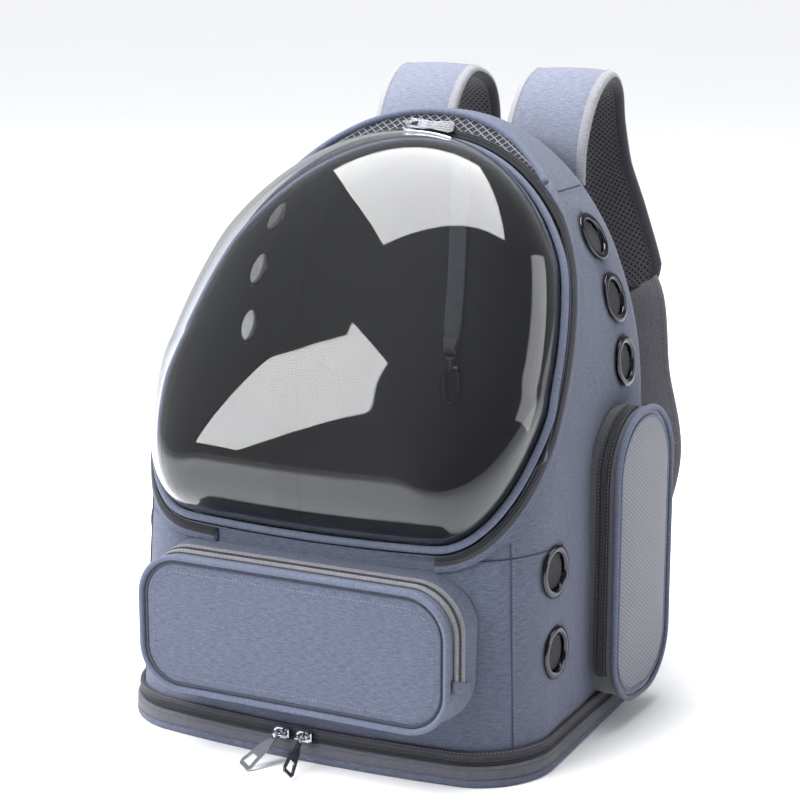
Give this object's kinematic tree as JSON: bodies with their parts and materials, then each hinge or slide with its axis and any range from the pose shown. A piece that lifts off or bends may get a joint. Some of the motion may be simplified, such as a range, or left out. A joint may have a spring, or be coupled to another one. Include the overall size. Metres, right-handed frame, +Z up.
{
  "type": "bubble pet carrier backpack",
  "caption": "Zipped fabric backpack for a cat or small dog: arched ventilated cabin with a clear bulging dome window, outside pockets, padded shoulder straps and an inner safety leash.",
  "frame": {"origin": "middle of the padded base's underside, at floor level", "axes": "+Z up; -Y is the front with the dome, +Y the wearer's side with the straps; +X is the carrier's right seen from the front"},
  "size_m": [0.3744, 0.4158, 0.462],
  "materials": {
    "heather_fabric": "heathered polyester cloth, matt",
    "grey_cloth": "grey woven webbing and pocket cloth, matt",
    "dark_tape": "woven zip tape with nylon coil",
    "black_mesh": "open knitted mesh",
    "clear_plastic": "clear smoky polycarbonate sheet, polished",
    "gunmetal": "dark nickel eyelets, polished",
    "chrome": "polished die-cast zinc",
    "black_plastic": "moulded plastic snap hook"
  },
  "bodies": {
    "carrier": {"body_shell": "heather_fabric", "top_mesh": "black_mesh", "base_tray": "heather_fabric", "base_zip": "dark_tape", "vent_left_upper_1": "gunmetal", "vent_net_left_upper_1": "black_mesh", "vent_left_upper_2": "gunmetal", "vent_net_left_upper_2": "black_mesh", "vent_left_upper_3": "gunmetal", "vent_net_left_upper_3": "black_mesh", "vent_left_lower_1": "gunmetal", "vent_net_left_lower_1": "black_mesh", "vent_left_lower_2": "gunmetal", "vent_net_left_lower_2": "black_mesh", "vent_right_upper_1": "gunmetal", "vent_net_right_upper_1": "black_mesh", "vent_right_upper_2": "gunmetal", "vent_net_right_upper_2": "black_mesh", "vent_right_upper_3": "gunmetal", "vent_net_right_upper_3": "black_mesh", "vent_right_lower_1": "gunmetal", "vent_net_right_lower_1": "black_mesh", "vent_right_lower_2": "gunmetal", "vent_net_right_lower_2": "black_mesh", "window_dome": "clear_plastic", "window_piping": "heather_fabric", "window_zip": "dark_tape", "front_pocket": "heather_fabric", "front_pocket_zip": "dark_tape", "front_pocket_piping": "heather_fabric", "side_pocket_left": "grey_cloth", "side_pocket_left_zip": "dark_tape", "side_pocket_left_piping": "heather_fabric", "side_pocket_right": "grey_cloth", "side_pocket_right_zip": "dark_tape", "side_pocket_right_piping": "heather_fabric", "back_panel": "heather_fabric", "shoulder_strap_left": "heather_fabric", "strap_webbing_left": "grey_cloth", "shoulder_strap_right": "heather_fabric", "strap_webbing_right": "grey_cloth", "base_slider_left": "chrome", "base_slider_right": "chrome", "window_slider": "chrome", "leash": "dark_tape", "snap_hook": "black_plastic"},
    "pull_left": {"base_pull_left": "chrome"},
    "pull_right": {"base_pull_right": "chrome"},
    "window_tab": {"window_pull": "chrome"},
    "gate": {"hook_gate": "black_plastic"}
  },
  "joints": [
    {"name": "base_pull_left_swing", "type": "hinge", "parent": "carrier", "child": "pull_left", "pos_m": [-0.013, -0.14968, 0.01965], "axis": [-1, 0, 0], "range_deg": [0, 74]},
    {"name": "base_pull_right_swing", "type": "hinge", "parent": "carrier", "child": "pull_right", "pos_m": [0.005, -0.14968, 0.01965], "axis": [-1, 0, 0], "range_deg": [0, 74]},
    {"name": "window_pull_swing", "type": "hinge", "parent": "carrier", "child": "window_tab", "pos_m": [-0.0134, 0.06162, 0.42529], "axis": [0, -0.592, -0.8059], "range_deg": [0, 110]},
    {"name": "hook_gate_swing", "type": "hinge", "parent": "carrier", "child": "gate", "pos_m": [0.0064, 0.1048, 0.2292], "axis": [0, 1, 0], "range_deg": [0, 22], "stiffness_Nm_per_rad": 0.0005, "springref_deg": -11.46}
  ]
}
